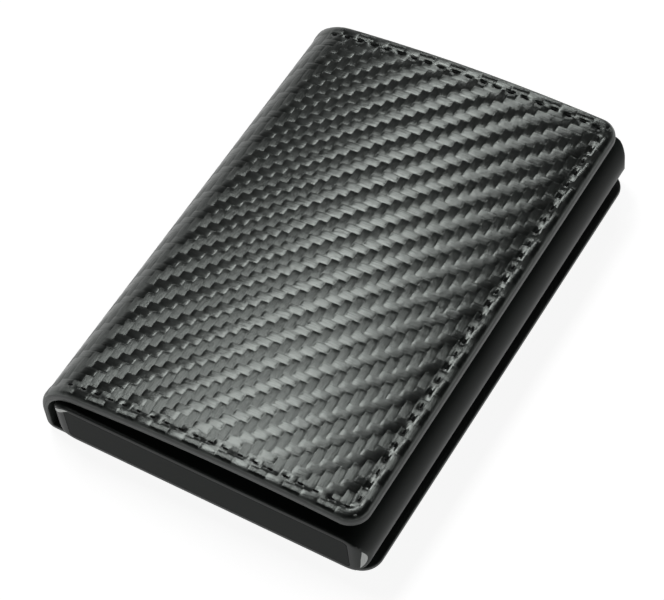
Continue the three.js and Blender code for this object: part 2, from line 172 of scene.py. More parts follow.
FLOOR_SIZE = 6             # this and the softboxes' height are in metres
SOFTBOX_HEIGHT = 3.0
SOFTBOX_X = (-30.5, -20)   # angles from the vertical toward +X, in degrees
NEAR_SOFTBOX_Y = (5, 30.5)  # and toward +Y
FAR_SOFTBOX_Y = (47, 62)
NEAR_RADIANCE = 12.5
FAR_RADIANCE = 9.5
FLOOR_GLOW = 0.9
WALL_GLOW = 0.85
CEILING_GLOW = 0.015
WALL_TOP = (0.1, 0.5)      # sines of the elevations between which the wall fades into the ceiling


# ---------- the cover's outer surface, as a curve in X and Z ----------
def crown_height(x):
    return CROWN_TOP - CROWN_BEND * (x - CROWN_X) ** 2


def slope_at_fold():
    """The flap's slope, as an angle, where the upper round runs into it without a kink."""
    lean = 0.0
    for _ in range(20):
        x = SPINE_X + UPPER_ROUND * (1 - math.sin(lean))
        lean = math.atan(2 * CROWN_BEND * (CROWN_X - x))
    return lean


LEAN = slope_at_fold()
FOLD_X = SPINE_X + UPPER_ROUND * (1 - math.sin(LEAN))
UPPER_CENTRE_Z = crown_height(FOLD_X) - UPPER_ROUND * math.cos(LEAN)
CROWN_POINTS = 600


def cover_curve():
    """Dense points from the flap's free edge over the spine to the back panel's free edge."""
    x = np.linspace(FLAP_EDGE, FOLD_X, CROWN_POINTS)
    crown = np.stack([x, crown_height(x)], 1)
    turn = np.linspace(math.pi / 2 + LEAN, math.pi, 120)[1:]
    upper = np.stack([
        SPINE_X + UPPER_ROUND + UPPER_ROUND * np.cos(turn),
        UPPER_CENTRE_Z + UPPER_ROUND * np.sin(turn),
    ], 1)
    turn = np.radians(np.linspace(180, 270, 60))
    lower = np.stack([
        SPINE_X + LOWER_ROUND + LOWER_ROUND * np.cos(turn),
        LOWER_ROUND + LOWER_ROUND * np.sin(turn),
    ], 1)
    back = np.array([[BACK_EDGE, 0.0]])
    return np.concatenate([crown, upper, lower, back])


CURVE = cover_curve()
STEP = np.hypot(*np.diff(CURVE, axis=0).T)
CURVE_S = FLAP_EDGE - np.concatenate([[0], np.cumsum(STEP)])
TANGENT = np.gradient(CURVE, CURVE_S, axis=0)
TANGENT /= np.linalg.norm(TANGENT, axis=1, keepdims=True)
NORMAL = np.stack([-TANGENT[:, 1], TANGENT[:, 0]], 1)


def along_curve(values, s):
    """Reads values, one for each point of the curve, at distance s."""
    return np.interp(s, CURVE_S[::-1], values[::-1])


def on_cover(s, y, depth):
    """Points at distance s along the curve, at y, and depth under the outer surface."""
    nx, nz = along_curve(NORMAL[:, 0], s), along_curve(NORMAL[:, 1], s)
    length = np.hypot(nx, nz)
    x = along_curve(CURVE[:, 0], s) - nx / length * depth
    z = along_curve(CURVE[:, 1], s) - nz / length * depth
    return np.stack(np.broadcast_arrays(x, y, z), -1)


S_FOLD = float(CURVE_S[CROWN_POINTS - 1])
S_SPINE_TOP = S_FOLD - UPPER_ROUND * (math.pi / 2 - LEAN)
S_SPINE_LOW = S_SPINE_TOP - (UPPER_CENTRE_Z - LOWER_ROUND)
S_BACK = S_SPINE_LOW - LOWER_ROUND * math.pi / 2
S_BACK_EDGE = float(CURVE_S[-1])
S_SPLIT = WEAVE_START[0] + TOW * round(((S_SPINE_TOP + S_SPINE_LOW) / 2 - WEAVE_START[0]) / TOW)


def smoothstep(t):
    t = np.clip(t, 0, 1)
    return t * t * (3 - 2 * t)


def cover_thickness(s):
    to_flap = smoothstep((s - S_SPINE_TOP) / (S_FOLD - S_SPINE_TOP))
    to_back = smoothstep((S_SPINE_LOW - s) / (S_SPINE_LOW - S_BACK))
    return SPINE_THICK + (FLAP_THICK - SPINE_THICK) * to_flap + (BACK_THICK - SPINE_THICK) * to_back


class Panel:
    """Half of the cover, from a free edge to the middle of the spine. e is the distance from that edge."""

    def __init__(self, name, edge, inward, stitches_to):
        self.name = name
        self.edge = edge
        self.inward = inward              # +1 or -1: how s changes with e
        self.reach = abs(S_SPLIT - edge)
        self.stitches_to = stitches_to

    def s(self, e):
        return self.edge + self.inward * e

    def surface(self, e, y, depth):
        return on_cover(self.s(e), y, depth)


FLAP = Panel("flap", FLAP_EDGE, -1, FLAP_EDGE - S_FOLD + STITCH_PAST_FOLD)
BACK = Panel("back", S_BACK_EDGE, 1, S_BACK - S_BACK_EDGE)


# ---------- plan shape: distance to the outline, and the stitch line ----------
def inset_of(e, y):
    """Distance in from the panel's outline."""
    side = HALF_COVER - np.abs(y)
    w = np.minimum(e, side)
    corner = (e < CORNER) & (side < CORNER)
    return np.where(corner, CORNER - np.hypot(CORNER - e, CORNER - side), w)


def clamp_to_inset(e, y, inset):
    """Moves points outside the inset outline onto it."""
    side = HALF_COVER - np.abs(y)
    corner = (e < CORNER) & (side < CORNER)
    reach = np.hypot(CORNER - e, CORNER - side)
    scale = np.minimum(1, (CORNER - inset) / np.maximum(reach, 1e-9))
    corner_e = CORNER - (CORNER - e) * scale
    corner_side = CORNER - (CORNER - side) * scale
    new_e = np.where(corner, corner_e, np.maximum(e, inset))
    new_side = np.where(corner, corner_side, np.maximum(side, inset))
    return new_e, np.sign(y) * (HALF_COVER - new_side)


def perimeter(e, y, inset=STITCH_INSET):
    """Distance along the line at that inset, from the middle of the free edge."""
    side = HALF_COVER - np.abs(y)
    straight = HALF_COVER - CORNER
    radius = CORNER - inset
    angle = np.arctan2(np.abs(y) - straight, np.maximum(CORNER - e, 1e-9))
    on_corner = straight + radius * np.clip(angle, 0, math.pi / 2)
    on_side = straight + radius * math.pi / 2 + e - CORNER
    a = np.where(e >= CORNER, np.where(side < e, on_side, np.abs(y)), on_corner)
    return np.where((e < CORNER) & (side >= CORNER), np.abs(y), a)


def perimeter_point(a, inset):
    """(e, y) at signed distance a along the line at that inset."""
    straight = HALF_COVER - CORNER
    radius = CORNER - inset
    size = abs(a)
    if size <= straight:
        return inset, a
    angle = (size - straight) / radius
    if angle <= math.pi / 2:
        e = CORNER - radius * math.cos(angle)
        y = straight + radius * math.sin(angle)
    else:
        e = CORNER + (angle - math.pi / 2) * radius
        y = HALF_COVER - inset
    return e, math.copysign(y, a)


# ---------- the embossed weave ----------
def weave(s, y):
    """Height of the 2x2 twill, 0 in the grooves to 1, and whether the tow on top runs along Y."""
    u = (s - WEAVE_START[0]) / TOW
    v = (y - WEAVE_START[1]) / TOW
    i, j = np.floor(u), np.floor(v)
    phase = np.mod(i - j, 4)
    lengthwise = phase < 2
    across = np.where(lengthwise, u - i - 0.5, v - j - 0.5) * 2
    centre_v = j + np.where(phase < 1, 0, 1)
    centre_u = i + np.where(phase < 3, 1, 0)
    along = np.where(lengthwise, v - centre_v, u - centre_u)
    body = np.clip(1 - np.abs(across) ** TOW_FLATNESS - np.abs(along) ** TOW_FLATNESS, 0, 1)
    return body ** TOW_FULLNESS * (1 - TOW_CROWN * across ** 2), lengthwise


def tow_lines(low, high, start):
    """Positions between low and high that follow every tow's cuts."""
    first, last = math.floor((low - start) / TOW), math.ceil((high - start) / TOW)
    lines = [start + (k + cut) * TOW for k in range(first, last + 1) for cut in TOW_CUTS]
    inside = [p for p in lines if low + 0.02 < p < high - 0.02]
    return np.array([low] + inside + [high])


def relief(panel, e, y, fade=1.0):
    """How far the leather stands above its nominal surface."""
    w = inset_of(e, y)
    height, _ = weave(panel.s(e), y)
    puff = PUFF * np.where(w < STITCH_INSET, 1 - ((w - PUFF_CREST) / (STITCH_INSET - PUFF_CREST)) ** 2, 0)
    dip = DIP_DEPTH * smoothstep((STITCH_INSET + DIP_WIDTH - w) / DIP_WIDTH)
    dip = dip * smoothstep((panel.stitches_to - e) / DIP_WIDTH + 1)
    a = perimeter(e, y)
    offset = np.mod(a, STITCH_PITCH) - STITCH_PITCH / 2
    stitched = smoothstep((panel.stitches_to - e) / STITCH_FADE + 1)
    pit = np.exp(-(offset / PIT_HALF_LENGTH) ** 4 - ((w - STITCH_INSET) / PIT_HALF_WIDTH) ** 2) * stitched
    return WEAVE_HEIGHT * height * fade * (1 - PIT_FLATTENS * pit) + puff - dip - PIT_DEPTH * pit


# ---------- meshes ----------
def mesh_object(name, points, faces, materials, slots=None, uv=None, sharp=None):
    """A smooth mesh from millimetre points. uv gives one pair for each point."""
    mesh = bpy.data.meshes.new(name)
    corners = faces.tolist() if isinstance(faces, np.ndarray) else faces
    mesh.from_pydata((np.asarray(points, float) * MM).tolist(), [], corners)
    for material in materials:
        mesh.materials.append(material)
    if slots is not None:
        mesh.polygons.foreach_set("material_index", np.asarray(slots, np.int32))
    mesh.polygons.foreach_set("use_smooth", np.ones(len(mesh.polygons), bool))
    if uv is not None:
        corner = np.empty(len(mesh.loops), np.int32)
        mesh.loops.foreach_get("vertex_index", corner)
        layer = mesh.uv_layers.new(name="cover")
        layer.data.foreach_set("uv", (np.asarray(uv, float)[corner] * UV_PER_MM).ravel())
    if sharp is not None:
        mesh.set_sharp_from_angle(angle=math.radians(sharp))
    mesh.update()
    obj = bpy.data.objects.new(name, mesh)
    bpy.context.collection.objects.link(obj)
    return obj


def grid_faces(rows, columns, flip=False):
    index = np.arange(rows * columns).reshape(rows, columns)
    corners = [index[:-1, :-1], index[1:, :-1], index[1:, 1:], index[:-1, 1:]]
    if flip:
        corners.reverse()
    return np.stack(corners, -1).reshape(-1, 4)


def joined(parts):
    """One point array and one face list from several (points, faces) pairs."""
    points, faces, start = [], [], 0
    for part_points, part_faces in parts:
        points.append(np.asarray(part_points).reshape(-1, 3))
        faces.extend([[i + start for i in face] for face in part_faces])
        start += len(points[-1])
    return np.concatenate(points), faces


# ---------- materials ----------
def new_material(name, color, roughness, metallic=0.0):
    material = bpy.data.materials.new(name)
    material.use_nodes = True
    shader = material.node_tree.nodes["Principled BSDF"]
    shader.inputs["Base Color"].default_value = (*color, 1)
    shader.inputs["Roughness"].default_value = roughness
    shader.inputs["Metallic"].default_value = metallic
    return material, material.node_tree.nodes, material.node_tree.links, shader


def scaled_coordinates(nodes, links, scale, source="Object"):
    """Texture coordinates multiplied by scale on each axis."""
    coordinates = nodes.new("ShaderNodeTexCoord")
    mapping = nodes.new("ShaderNodeMapping")
    mapping.inputs["Scale"].default_value = scale
    links.new(coordinates.outputs[source], mapping.inputs["Vector"])
    return mapping.outputs["Vector"]


def noise(nodes, links, vector, scale, detail=2.0):
    texture = nodes.new("ShaderNodeTexNoise")
    texture.inputs["Scale"].default_value = scale
    texture.inputs["Detail"].default_value = detail
    links.new(vector, texture.inputs["Vector"])
    return texture.outputs["Fac"]


def mix_colors(nodes, links, factor, dark, light, low=0.3, high=0.7):
    ramp = nodes.new("ShaderNodeValToRGB")
    ramp.color_ramp.elements[0].position = low
    ramp.color_ramp.elements[0].color = (*dark, 1)
    ramp.color_ramp.elements[1].position = high
    ramp.color_ramp.elements[1].color = (*light, 1)
    links.new(factor, ramp.inputs["Fac"])
    return ramp.outputs["Color"]


def bump(nodes, links, shader, height, distance, strength=1.0):
    """Adds a bump of that height, in metres, on top of any the shader already has."""
    node = nodes.new("ShaderNodeBump")
    node.inputs["Strength"].default_value = strength
    node.inputs["Distance"].default_value = distance
    links.new(height, node.inputs["Height"])
    if shader.inputs["Normal"].is_linked:
        links.new(shader.inputs["Normal"].links[0].from_socket, node.inputs["Normal"])
    links.new(node.outputs["Normal"], shader.inputs["Normal"])


def varied_roughness(nodes, links, shader, factor, low, high):
    spread = nodes.new("ShaderNodeMapRange")
    spread.inputs["To Min"].default_value = low
    spread.inputs["To Max"].default_value = high
    links.new(factor, spread.inputs["Value"])
    links.new(spread.outputs["Result"], shader.inputs["Roughness"])


def woven_leather(name, fibres, sheen_turn, roughness):
    """Coated leather embossed like carbon cloth, whose fine ridges spread its shine across the tow.

    fibres is the UV stretch of the ridges: many across, few along. roughness is its lowest and highest.
    """
    material, nodes, links, shader = new_material(name, (0.022, 0.025, 0.0235), 0.4)
    shader.inputs["Specular IOR Level"].default_value = 1.0
    shader.inputs["Specular Tint"].default_value = (0.93, 1.0, 0.95, 1)
    shader.inputs["Anisotropic"].default_value = 0.92
    shader.inputs["Anisotropic Rotation"].default_value = sheen_turn
    shader.inputs["Coat Weight"].default_value = 0.03
    shader.inputs["Coat Roughness"].default_value = 0.22
    tangent = nodes.new("ShaderNodeTangent")
    tangent.direction_type = "UV_MAP"
    tangent.uv_map = "cover"
    links.new(tangent.outputs["Tangent"], shader.inputs["Tangent"])
    strands = noise(nodes, links, scaled_coordinates(nodes, links, fibres, "UV"), 1.0, 3.0)
    wear = noise(nodes, links, scaled_coordinates(nodes, links, (1, 1, 1)), 90.0, 3.0)
    color = mix_colors(nodes, links, strands, (0.002, 0.0027, 0.0023), (0.007, 0.0086, 0.0077))
    links.new(color, shader.inputs["Base Color"])
    varied_roughness(nodes, links, shader, wear, *roughness)
    bump(nodes, links, shader, strands, 0.00006, 0.9)
    return material


def edge_leather():
    """The smooth, burnished turn of the leather at the cover's edge."""
    material, nodes, links, shader = new_material("leather_edge", (0.02, 0.024, 0.022), 0.4)
    vector = scaled_coordinates(nodes, links, (1, 1, 1))
    grain = noise(nodes, links, vector, 2600.0, 3.0)
    patches = noise(nodes, links, vector, 160.0, 2.0)
    color = mix_colors(nodes, links, patches, (0.012, 0.0145, 0.0132), (0.027, 0.032, 0.029))
    links.new(color, shader.inputs["Base Color"])
    varied_roughness(nodes, links, shader, patches, 0.36, 0.5)
    bump(nodes, links, shader, grain, 0.00002, 0.5)
    return material


def lining_leather():
    """Matt black lining with a small pebbled grain."""
    material, nodes, links, shader = new_material("lining_leather", (0.014, 0.0155, 0.015), 0.6)
    vector = scaled_coordinates(nodes, links, (1, 1, 1))
    cells = nodes.new("ShaderNodeTexVoronoi")
    cells.feature = "SMOOTH_F1"
    cells.inputs["Scale"].default_value = 1500.0
    links.new(vector, cells.inputs["Vector"])
    patches = noise(nodes, links, vector, 120.0, 3.0)
    color = mix_colors(nodes, links, patches, (0.010, 0.0112, 0.0106), (0.019, 0.021, 0.0202))
    links.new(color, shader.inputs["Base Color"])
    varied_roughness(nodes, links, shader, patches, 0.52, 0.68)
    bump(nodes, links, shader, cells.outputs["Distance"], 0.00006, 0.5)
    return material


def waxed_thread():
    material, nodes, links, shader = new_material("waxed_thread", (0.006, 0.0065, 0.006), 0.8)
    shader.inputs["Specular IOR Level"].default_value = 0.2
    vector = scaled_coordinates(nodes, links, (1, 1, 1))
    plies = nodes.new("ShaderNodeTexWave")
    plies.inputs["Scale"].default_value = 900.0
    plies.bands_direction = "DIAGONAL"
    links.new(vector, plies.inputs["Vector"])
    color = mix_colors(nodes, links, plies.outputs["Fac"], (0.003, 0.0033, 0.003), (0.011, 0.012, 0.0112))
    links.new(color, shader.inputs["Base Color"])
    bump(nodes, links, shader, plies.outputs["Fac"], 0.00006)
    return material


def anodised_metal():
    """Black anodised aluminium, drawn along the case."""
    material, nodes, links, shader = new_material("anodised_metal", (0.012, 0.014, 0.013), 0.4, 0.1)
    shader.inputs["Specular IOR Level"].default_value = 0.14
    drawn = noise(nodes, links, scaled_coordinates(nodes, links, (9000, 120, 9000)), 1.0, 2.0)
    patches = noise(nodes, links, scaled_coordinates(nodes, links, (1, 1, 1)), 60.0, 2.0)
    color = mix_colors(nodes, links, patches, (0.008, 0.0098, 0.0088), (0.014, 0.017, 0.0155))
    links.new(color, shader.inputs["Base Color"])
    varied_roughness(nodes, links, shader, drawn, 0.34, 0.48)
    bump(nodes, links, shader, drawn, 0.000004, 0.4)
    return material


def bare_metal(name, color, roughness, stretch):
    """Uncoated metal with tool marks along one direction."""
    material, nodes, links, shader = new_material(name, color, roughness, 1.0)
    marks = noise(nodes, links, scaled_coordinates(nodes, links, stretch), 1.0, 2.0)
    dull = tuple(0.8 * c for c in color)
    links.new(mix_colors(nodes, links, marks, dull, color), shader.inputs["Base Color"])
    varied_roughness(nodes, links, shader, marks, roughness - 0.06, roughness + 0.08)
    bump(nodes, links, shader, marks, 0.000006, 0.5)
    return material


def moulded_plastic():
    """Satin black plastic with a fine spark-eroded texture."""
    material, nodes, links, shader = new_material("moulded_plastic", (0.006, 0.008, 0.007), 0.42)
    shader.inputs["Specular IOR Level"].default_value = 0.04
    vector = scaled_coordinates(nodes, links, (1, 1, 1))
    spark = noise(nodes, links, vector, 5200.0, 1.0)
    patches = noise(nodes, links, vector, 70.0, 2.0)
    color = mix_colors(nodes, links, patches, (0.0045, 0.006, 0.0052), (0.0075, 0.0095, 0.0085))
    links.new(color, shader.inputs["Base Color"])
    varied_roughness(nodes, links, shader, patches, 0.4, 0.5)
    bump(nodes, links, shader, spark, 0.00001, 0.5)
    return material


def soft_matt(name, dark, light, grain_scale, depth):
    """Fibre board, foam, rubber or felt: a mottled matt surface."""
    material, nodes, links, shader = new_material(name, light, 0.9)
    vector = scaled_coordinates(nodes, links, (1, 1, 1))
    grain = noise(nodes, links, vector, grain_scale, 4.0)
    links.new(mix_colors(nodes, links, grain, dark, light), shader.inputs["Base Color"])
    varied_roughness(nodes, links, shader, grain, 0.8, 1.0)
    bump(nodes, links, shader, grain, depth)
    return material


def floor_material():
    material, _, _, shader = new_material("floor", (0.35, 0.35, 0.35), 0.9)
    shader.inputs["Specular IOR Level"].default_value = 0.0
    shader.inputs["Emission Color"].default_value = (1, 1, 1, 1)
    shader.inputs["Emission Strength"].default_value = FLOOR_GLOW
    return material


TOW_ACROSS = woven_leather("woven_leather_across", (40, 260, 1), 0.25, (0.27, 0.31))
TOW_ALONG = woven_leather("woven_leather_along", (260, 40, 1), 0.0, (0.29, 0.33))
EDGE = edge_leather()
LINING = lining_leather()
THREAD = waxed_thread()
ANODISED = anodised_metal()
MILLED = bare_metal("milled_aluminium", (0.34, 0.35, 0.34), 0.42, (400, 9000, 400))
STEEL = bare_metal("plain_steel", (0.55, 0.55, 0.54), 0.3, (300, 6000, 6000))
BRASS = bare_metal("plain_brass", (0.68, 0.52, 0.27), 0.28, (6000, 6000, 300))
PLASTIC = moulded_plastic()
BOARD = soft_matt("fibre_board", (0.24, 0.225, 0.2), (0.38, 0.36, 0.32), 1800.0, 0.00003)
FOAM = soft_matt("foam_tape", (0.3, 0.3, 0.28), (0.42, 0.42, 0.39), 2600.0, 0.00004)
MAGNET = soft_matt("magnetic_rubber", (0.035, 0.033, 0.031), (0.06, 0.057, 0.054), 900.0, 0.00001)
FELT = soft_matt("short_felt", (0.018, 0.018, 0.018), (0.045, 0.045, 0.045), 5200.0, 0.00015)


# ---------- cover: skin ----------
def skin_sheet(panel):
    """The embossed face inside the border, one grid that follows every tow."""
    low, high = sorted((panel.edge, S_SPLIT))
    s = tow_lines(low, high, WEAVE_START[0])
    y = tow_lines(-HALF_COVER, HALF_COVER, WEAVE_START[1])
    s_grid, y_grid = np.meshgrid(s, y, indexing="ij")
    e_grid = (s_grid - panel.edge) * panel.inward
    outside = inset_of(e_grid, y_grid) < SHEET_INSET
    e_grid, y_grid = clamp_to_inset(e_grid, y_grid, SHEET_INSET)
    points = panel.surface(e_grid, y_grid, -relief(panel, e_grid, y_grid)).reshape(-1, 3)
    faces = grid_faces(len(s), len(y))
    kept = ~outside.ravel()[faces].all(axis=1)
    middle_s = (s[:-1, None] + s[1:, None]) / 2
    _, lengthwise = weave(middle_s, (y[None, :-1] + y[None, 1:]) / 2)
    uv = np.stack([panel.s(e_grid), y_grid], -1).reshape(-1, 2)
    return points, faces[kept], lengthwise.ravel()[kept], uv


def border_profile():
    """Inset, inset at which the relief is read, drop as a share of the turn, and how much weave shows."""
    flat = [(w, w, 0.0, 1.0) for w in np.linspace(SHEET_INSET, EDGE_ROUND, 6)[:-1]]
    rounded = []
    for turn in np.linspace(0, math.pi / 2, 9):
        inset = EDGE_ROUND * (1 - math.sin(turn))
        rounded.append((inset, inset, 1 - math.cos(turn), 1 - smoothstep(turn / EDGE_FADE)))
    under = [(0.03, 0, 1.08, 0), (0.14, 0, 1.14, 0), (0.7, 0, 1.16, 0)]
    return flat + rounded + under


def outline_path(panel):
    """Points round the panel's outline from spine to spine: e, y and the inward direction in e and y."""
    sides = np.array([panel.reach - d for d in np.arange(0, panel.reach - CORNER, TOW / 6)] + [CORNER])
    turn = np.linspace(0, math.pi / 2, 24)[1:-1]
    free = np.arange(-(HALF_COVER - CORNER), HALF_COVER - CORNER + 0.01, TOW / 6)
    rows = [(e, -HALF_COVER, 0, 1) for e in sides]
    rows += [
        (CORNER - CORNER * math.sin(t), CORNER - HALF_COVER - CORNER * math.cos(t), math.sin(t), math.cos(t))
        for t in turn
    ]
    rows += [(0, y, 1, 0) for y in free]
    rows += [
        (CORNER - CORNER * math.cos(t), HALF_COVER - CORNER + CORNER * math.sin(t), math.cos(t), -math.sin(t))
        for t in turn
    ]
    rows += [(e, HALF_COVER, 0, -1) for e in sides[::-1]]
    return np.array(rows).T


def skin_border(panel):
    """The puffed border outside the stitch line, turned over the edge."""
    e0, y0, de, dy = outline_path(panel)
    profile = border_profile()
    rows, uvs = [], []
    unrolled, last_inset, last_drop = SHEET_INSET, SHEET_INSET, 0.0
    for inset, relief_inset, share, fade in profile:
        e, y = e0 + inset * de, y0 + inset * dy
        drop = share * EDGE_SHARE * cover_thickness(panel.s(e))
        rise = relief(panel, e0 + relief_inset * de, y0 + relief_inset * dy, fade)
        rows.append(panel.surface(e, y, drop - rise))
        unrolled -= math.hypot(inset - last_inset, share * EDGE_SHARE * FLAP_THICK - last_drop)
        last_inset, last_drop = inset, share * EDGE_SHARE * FLAP_THICK
        uvs.append(np.stack([panel.s(e0 + unrolled * de), y0 + unrolled * dy], -1))
    points = np.stack(rows)
    faces = grid_faces(len(rows), len(e0), flip=panel.inward > 0)
    middle_e = (e0[:-1] + e0[1:]) / 2
    middle_y = (y0[:-1] + y0[1:]) / 2
    slots = []
    for (inset, *_), (next_inset, *_, next_fade) in zip(profile, profile[1:]):
        w = (inset + next_inset) / 2
        _, lengthwise = weave(panel.s(middle_e + w * de[:-1]), middle_y + w * dy[:-1])
        woven = np.full(len(middle_e), next_fade > LEAST_WEAVE)
        slots.append(np.where(woven, lengthwise.astype(int), 2))
    return points.reshape(-1, 3), faces, np.concatenate(slots), np.stack(uvs).reshape(-1, 2)


def cover_skin(panel):
    """The outer leather: the embossed sheet and its border in one piece."""
    sheet_points, sheet_faces, sheet_slots, sheet_uv = skin_sheet(panel)
    border_points, border_faces, border_slots, border_uv = skin_border(panel)
    points = np.concatenate([sheet_points, border_points])
    faces = np.concatenate([sheet_faces, border_faces + len(sheet_points)])
    slots = np.concatenate([sheet_slots.astype(int), border_slots])
    uv = np.concatenate([sheet_uv, border_uv])
    return mesh_object(f"{panel.name}_cover_skin", points, faces, [TOW_ACROSS, TOW_ALONG, EDGE], slots, uv)


BAND_PROFILE = (            # inset, and depth as a share from the skin's underside to the lining's face
    (2.4, 0.06), (0.3, 0.06), (0.1, 0.1), (0.02, 0.22), (0.0, 0.45),
    (0.02, 0.72), (0.1, 0.88), (0.3, 0.97), (2.0, 1.0),
)


def edge_band(panel):
    """The lining's turned edge under the skin, all round the free outline."""
    e0, y0, de, dy = outline_path(panel)
    rows = []
    for inset, share in BAND_PROFILE:
        e, y = e0 + inset * de, y0 + inset * dy
        thickness = cover_thickness(panel.s(e))
        top = SKIN_SHARE * thickness
        rows.append(panel.surface(e, y, top + share * (thickness - top)))
    faces = grid_faces(len(rows), len(e0), flip=panel.inward > 0)
    return mesh_object(f"{panel.name}_edge_band", np.stack(rows).reshape(-1, 3), faces, [EDGE])


# ---------- slabs under the cover: linings and pockets ----------
def slab(name, s_values, half_widths, top_depth, bottom_depth, material, round_over=0.12):
    """A closed sheet that follows the cover's curve, with softened edges."""
    across = np.linspace(-1, 1, SLAB_COLUMNS)
    grid_s = np.repeat(s_values[:, None], len(across), 1)
    grid_y = half_widths[:, None] * across[None, :]
    middle = (top_depth + bottom_depth) / 2
    rim = np.minimum(
        (half_widths[:, None] - np.abs(grid_y)),
        np.minimum(np.abs(grid_s - s_values[0]), np.abs(grid_s - s_values[-1])),
    )
    soft = smoothstep(rim / SLAB_RIM + 0.001)
    half = (bottom_depth - top_depth) / 2
    reach = half[:, None] - round_over * (1 - soft)
    top = on_cover(grid_s, grid_y, middle[:, None] - reach)
    bottom = on_cover(grid_s, grid_y, middle[:, None] + reach)
    rows, columns = grid_s.shape
    index = np.arange(rows * columns).reshape(rows, columns)
    loop = np.concatenate([index[:, 0], index[-1, 1:], index[-2::-1, -1], index[0, -2:0:-1]])
    below = rows * columns
    rim_faces = [[a, b, b + below, a + below] for a, b in zip(np.roll(loop, -1), loop)]
    upward = grid_faces(rows, columns, flip=s_values[0] > s_values[-1])
    downward = [[i + below for i in reversed(face)] for face in upward.tolist()]
    faces = upward.tolist() + downward + rim_faces
    points = np.concatenate([top.reshape(-1, 3), bottom.reshape(-1, 3)])
    return mesh_object(name, points, faces, [material], sharp=SLAB_SHARP)


def corner_rows(start, end, radius, spacing):
    """Positions from start to end, close together over the last radius."""
    sign = 1 if end > start else -1
    plain = np.arange(0, abs(end - start) - radius, spacing)
    turn = np.linspace(0, math.pi / 2, 9)
    last = abs(end - start) - radius + radius * np.sin(turn)
    return start + sign * np.concatenate([plain, last])


def rounded_widths(s_values, edge, half, radius):
    """Half widths that round off the corners at the edge."""
    near = np.clip(radius - np.abs(s_values - edge), 0, radius)
    return half - (radius - np.sqrt(radius ** 2 - near ** 2))


def cover_lining(panel):
    edge = panel.s(LINING_INSET)
    s_values = corner_rows(S_SPLIT, edge, CORNER, SLAB_SPACING)
    half_widths = rounded_widths(s_values, edge, HALF_COVER - LINING_INSET, CORNER)
    bottom = cover_thickness(s_values)
    return slab(f"{panel.name}_lining_leather", s_values, half_widths, LINING_SHARE * bottom, bottom, LINING)


def s_at_x(x):
    """Distance along the curve of a point of the flap."""
    return float(np.interp(x, CURVE[:CROWN_POINTS, 0][::-1], CURVE_S[:CROWN_POINTS][::-1]))


def pocket(name, low, high, depth, thickness):
    start, edge = s_at_x(low[0]), s_at_x(high[0])
    s_values = corner_rows(start, edge, POCKET_CORNER, SLAB_SPACING)
    half_widths = rounded_widths(s_values, edge, high[1], POCKET_CORNER)
    top = np.full(len(s_values), depth)
    return slab(name, s_values, half_widths, top, top + thickness, LINING)


# ---------- stitches ----------
def stitch_tube(centre_line, radius, sides=8):
    """A closed thread along points, thinner at both ends."""
    points = np.asarray(centre_line)
    tangent = np.gradient(points, axis=0)
    tangent /= np.linalg.norm(tangent, axis=1, keepdims=True)
    up = np.array([0.0, 0.0, 1.0])
    side = np.cross(tangent, up)
    side /= np.linalg.norm(side, axis=1, keepdims=True)
    lift = np.cross(side, tangent)
    share = np.linspace(-1, 1, len(points))
    girth = radius * np.sqrt(np.clip(1.06 - share ** 6, 0.06, 1))
    angles = np.linspace(0, 2 * math.pi, sides, endpoint=False)
    ring = side[:, None] * np.cos(angles)[None, :, None] + lift[:, None] * np.sin(angles)[None, :, None]
    vertices = points[:, None] + ring * girth[:, None, None]
    faces = []
    for k in range(len(points) - 1):
        for m in range(sides):
            n = (m + 1) % sides
            faces.append([k * sides + m, k * sides + n, (k + 1) * sides + n, (k + 1) * sides + m])
    faces.append(list(range(sides))[::-1])
    faces.append([(len(points) - 1) * sides + m for m in range(sides)])
    return vertices.reshape(-1, 3), faces


def stitch_places(panel):
    """Middles of the stitches along the line round the panel."""
    end = HALF_COVER - CORNER + (CORNER - STITCH_INSET) * math.pi / 2 + panel.stitches_to - CORNER
    count = int(end // STITCH_PITCH)
    return [sign * (k + 0.5) * STITCH_PITCH for k in range(count) for sign in (-1, 1)]


def cover_stitches(panel):
    """Separate stitches, each dipping into the leather at both ends."""
    parts = []
    reach = np.linspace(-1, 1, 9)
    for a in stitch_places(panel):
        line = [perimeter_point(a + r * STITCH_LENGTH / 2, STITCH_INSET) for r in reach]
        e, y = np.array(line).T
        depth = DIP_DEPTH + THREAD_DEPTH + THREAD_SINK * np.abs(reach) ** 3
        parts.append(stitch_tube(panel.surface(e, y, depth), THREAD_RADIUS))
    points, faces = joined(parts)
    return mesh_object(f"{panel.name}_cover_stitches", points, faces, [THREAD])


def pocket_stitches(start_x, high, depth):
    """Small stitches round a pocket's three closed sides, on its inner face."""
    pitch, half_length = POCKET_STITCH_PITCH, POCKET_STITCH_LENGTH / 2
    x0, x1 = start_x + POCKET_STITCH_INSET, high[0] - POCKET_STITCH_END
    y1 = high[1] - POCKET_STITCH_INSET
    lines = []
    for x in np.arange(x0 + pitch / 2, x1 - pitch / 2, pitch):
        lines += [((x, -y1), (1, 0)), ((x, y1), (1, 0))]
    for y in np.arange(-y1 + pitch / 2, y1 - pitch / 2, pitch):
        lines.append(((x0, y), (0, 1)))
    reach = np.linspace(-1, 1, 7)
    parts = []
    for (x, y), (dx, dy) in lines:
        s = np.array([s_at_x(x + dx * r * half_length) for r in reach])
        sink = POCKET_THREAD_SINK * np.abs(reach) ** 3
        line = on_cover(s, y + dy * reach * half_length, depth + POCKET_THREAD_LIFT - sink)
        parts.append(stitch_tube(line, POCKET_THREAD_RADIUS, 6))
    return joined(parts)


